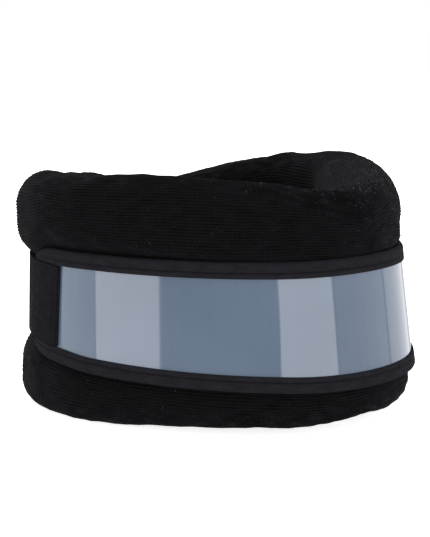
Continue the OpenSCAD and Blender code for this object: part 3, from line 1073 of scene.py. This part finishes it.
def straps():
    """Both straps, the tail, the hook and loop faces and all their stitching."""
    right = strap("strap_right", -180, -STRAP_START, strap_off, cut_ends=(False, True))
    finish(right, STRAP, ["right_strap_end", "hook_strap"])
    left = strap("strap_left", STRAP_START, 176, strap_off)
    finish(left, STRAP, ["left_strap_end", "loop_strap"])
    for word, piece in (("right", right), ("left", left)):
        side = SIDES[word]
        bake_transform(piece)
        ends = side * (STRAP_START + 3), side * (PLATE_END - 4.5)
        box(f"box_stitches_{word}", *ends, SLACK + STRAP_T, 5, f"{word}_box_stitch", "front")

    start = 180 - TAIL_ANGLE
    tail = strap("strap_tail", start, 180, lambda a: TAIL_FACE, cut_ends=(True, False))
    finish(tail, STRAP, ["hook_strap_tail"])
    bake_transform(tail)
    hook = strap("hook_patch_face", start + 3, 175, lambda a: HOOK_FACE, STRAP_W - 3, PILE_T)
    finish(hook, HOOK, ["hook_patch"], "strap_tail")
    outside = TAIL_FACE + STRAP_T
    box("hook_patch_stitches", start + 2.5, 175.5, outside, 2, "hook_patch_stitch", "strap_tail")

    loop = strap("loop_patch_face", start - 6, 175, lambda a: LOOP_FACE, STRAP_W - 2, PILE_T)
    finish(loop, LOOP, ["loop_patch"], "left_flap")
    outside = ON_FOAM + STRAP_T
    box("loop_patch_stitches", 128, start - 8.5, outside, 2, "loop_patch_stitch", "left_flap")


def end_seams():
    """The sewn ridge that shuts the sleeve at each flap's end."""
    for word, side in SIDES.items():
        z = np.linspace(foam_base(FLAP_END) + 14, foam_top(FLAP_END) - 14, 60)
        angle = np.linspace(0, 2 * math.pi, 12, endpoint=False)
        rings = []
        for i, height in enumerate(z):
            ends = min(1.0, 0.35 + 0.65 * math.sin(math.pi * i / (len(z) - 1)) ** 0.3)
            ripple = 1 + 0.12 * math.sin(2.4 * height)
            off = -WALL / 2 + 1.5 * ends * np.cos(angle)
            tip = FLAP_END + 0.08 + (0.24 + 0.24 * ends * ripple * np.sin(angle))
            x, y = outline(side * tip, off)
            rings.append(columns([x, y, np.full(12, height)])[::side])
        ridge = swept_solid(f"end_seam_{word}", rings)
        finish(ridge, THREAD, [f"{word}_end_seam"], f"{word}_flap")


# ------ studio
VIEW_AZIMUTH, VIEW_ELEVATION, VIEW_DISTANCE, VIEW_LENS = -44.0, 9.68, 697.5, 100.56
VIEW_SIDE, VIEW_HEIGHT = -9.7, 60.6


def towards(bearing, elevation=0.0):
    """Unit direction from the collar towards a bearing."""
    t, e = math.radians(bearing), math.radians(elevation)
    return np.array([math.sin(t) * math.cos(e), -math.cos(t) * math.cos(e), math.sin(e)])


def add_camera():
    back = towards(VIEW_AZIMUTH, VIEW_ELEVATION)
    right = towards(VIEW_AZIMUTH + 90)
    target = VIEW_SIDE * right + np.array([0, CENTRE_SHIFT, VIEW_HEIGHT])
    data = bpy.data.cameras.new("camera")
    data.lens = VIEW_LENS
    data.sensor_width = 36.0
    data.clip_start = 0.01
    camera = bpy.data.objects.new("camera", data)
    camera.location = Vector((target + VIEW_DISTANCE * back) * MM)
    camera.rotation_euler = Vector(-back).to_track_quat("-Z", "Y").to_euler()
    bpy.context.scene.collection.objects.link(camera)
    bpy.context.scene.camera = camera


def soft_light(name, bearing, elevation, distance, width, height, radiance):
    """A rectangular softbox, in metres, that faces the collar and shows at the given radiance."""
    data = bpy.data.lights.new(name, "AREA")
    data.shape = "RECTANGLE"
    data.size, data.size_y = width, height
    data.energy = radiance * math.pi * width * height
    lamp = bpy.data.objects.new(name, data)
    lamp.location = Vector(distance * towards(bearing, elevation)) + Vector((0, 0, 0.05))
    lamp.rotation_euler = Vector(towards(bearing, elevation)).to_track_quat("Z", "Y").to_euler()
    lamp.visible_camera = False
    bpy.context.scene.collection.objects.link(lamp)


def studio():
    """White surroundings, the softboxes that the plate reflects, and a white floor."""
    scene = bpy.context.scene
    scene.view_settings.view_transform = "Standard"
    world = bpy.data.worlds.new("studio")
    world.use_nodes = True
    background = world.node_tree.nodes["Background"]
    background.inputs["Color"].default_value = rgb(1, 1, 1)
    background.inputs["Strength"].default_value = 1.0
    scene.world = world
    soft_light("left_window", -103.5, -2, 2.0, 1.04, 1.6, 3.25)
    soft_light("front_window", -12.8, -2, 2.0, 2.0, 1.6, 3.25)
    soft_light("left_fill", -133, -2, 2.0, 1.0, 1.6, 0.8)
    soft_light("right_fill", 38, -2, 2.0, 1.7, 1.6, 0.6)
    soft_light("right_edge", 84, -2, 2.0, 1.5, 1.6, 0.93)
    soft_light("nape_panel", 170, 42, 2.2, 1.6, 1.2, 3.2)
    soft_light("top_panel", -45, 60, 2.0, 1.5, 1.5, 2.1)

    size, level = 3000, -0.2
    corners = [(-size, -size, level), (size, -size, level), (size, size, level), (-size, size, level)]
    floor = build_mesh("floor", corners, [[(0, 1, 2, 3)]])
    n = Material(
        "paper", Roughness=1.0, Specular_IOR_Level=0.0, Emission_Color=rgb(1, 1, 1), Emission_Strength=0.8
    )
    n.colour(n.noise(n.object_mm(), 0.01), rgb(0.9, 0.9, 0.9), rgb(0.92, 0.92, 0.92))
    floor.data.materials.append(n.made)
    floor.visible_glossy = False


add_camera()
studio()
SHIFT = settle()
padding()
stiffener()
straps()
end_seams()
